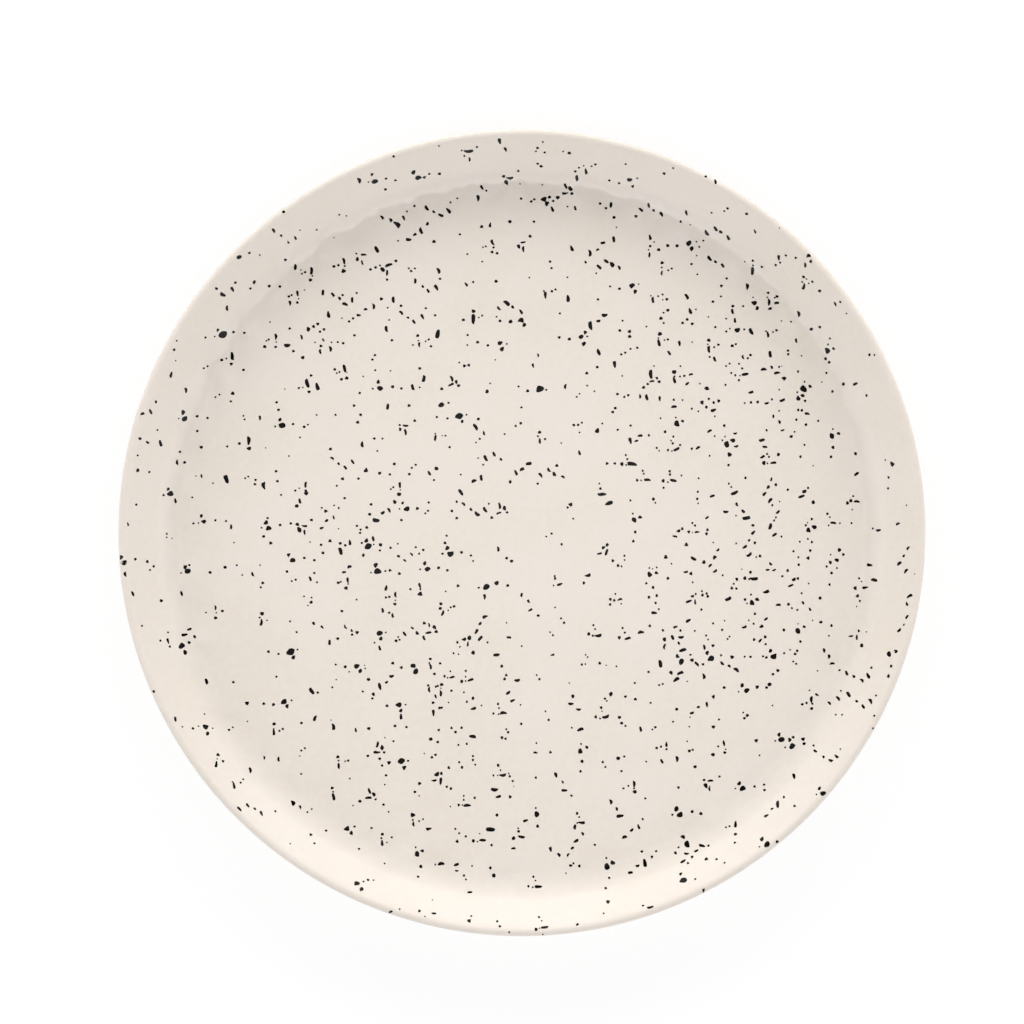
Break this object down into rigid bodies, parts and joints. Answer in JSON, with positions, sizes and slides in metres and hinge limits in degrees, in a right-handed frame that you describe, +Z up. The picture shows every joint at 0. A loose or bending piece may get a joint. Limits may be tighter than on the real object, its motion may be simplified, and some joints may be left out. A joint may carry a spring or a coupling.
{
  "type": "cake plate",
  "caption": "Flat round cake plate with a low upturned wall and rounded lip, cream speckled glaze over a ceramic body, standing on a bare foot ring.",
  "frame": {"origin": "centre of the foot ring's contact plane, on the table", "axes": "+Z up along the axis of the plate, from the foot ring to the lip; X and Y lie in the table plane"},
  "size_m": [0.32, 0.32, 0.02],
  "materials": {
    "bare_clay": "matt, fine-grained fired clay, bare on the foot ring",
    "speckled_glaze": "glossy cream glaze with scattered black flecks and a slight ripple",
    "base_glaze": "glossy cream glaze with fewer flecks",
    "fleck": "near-black pigment under the same gloss as the glaze"
  },
  "bodies": {
    "root": {"ceramic_body": "bare_clay", "glaze_coat": "speckled_glaze", "base_glaze": "base_glaze"}
  },
  "joints": []
}
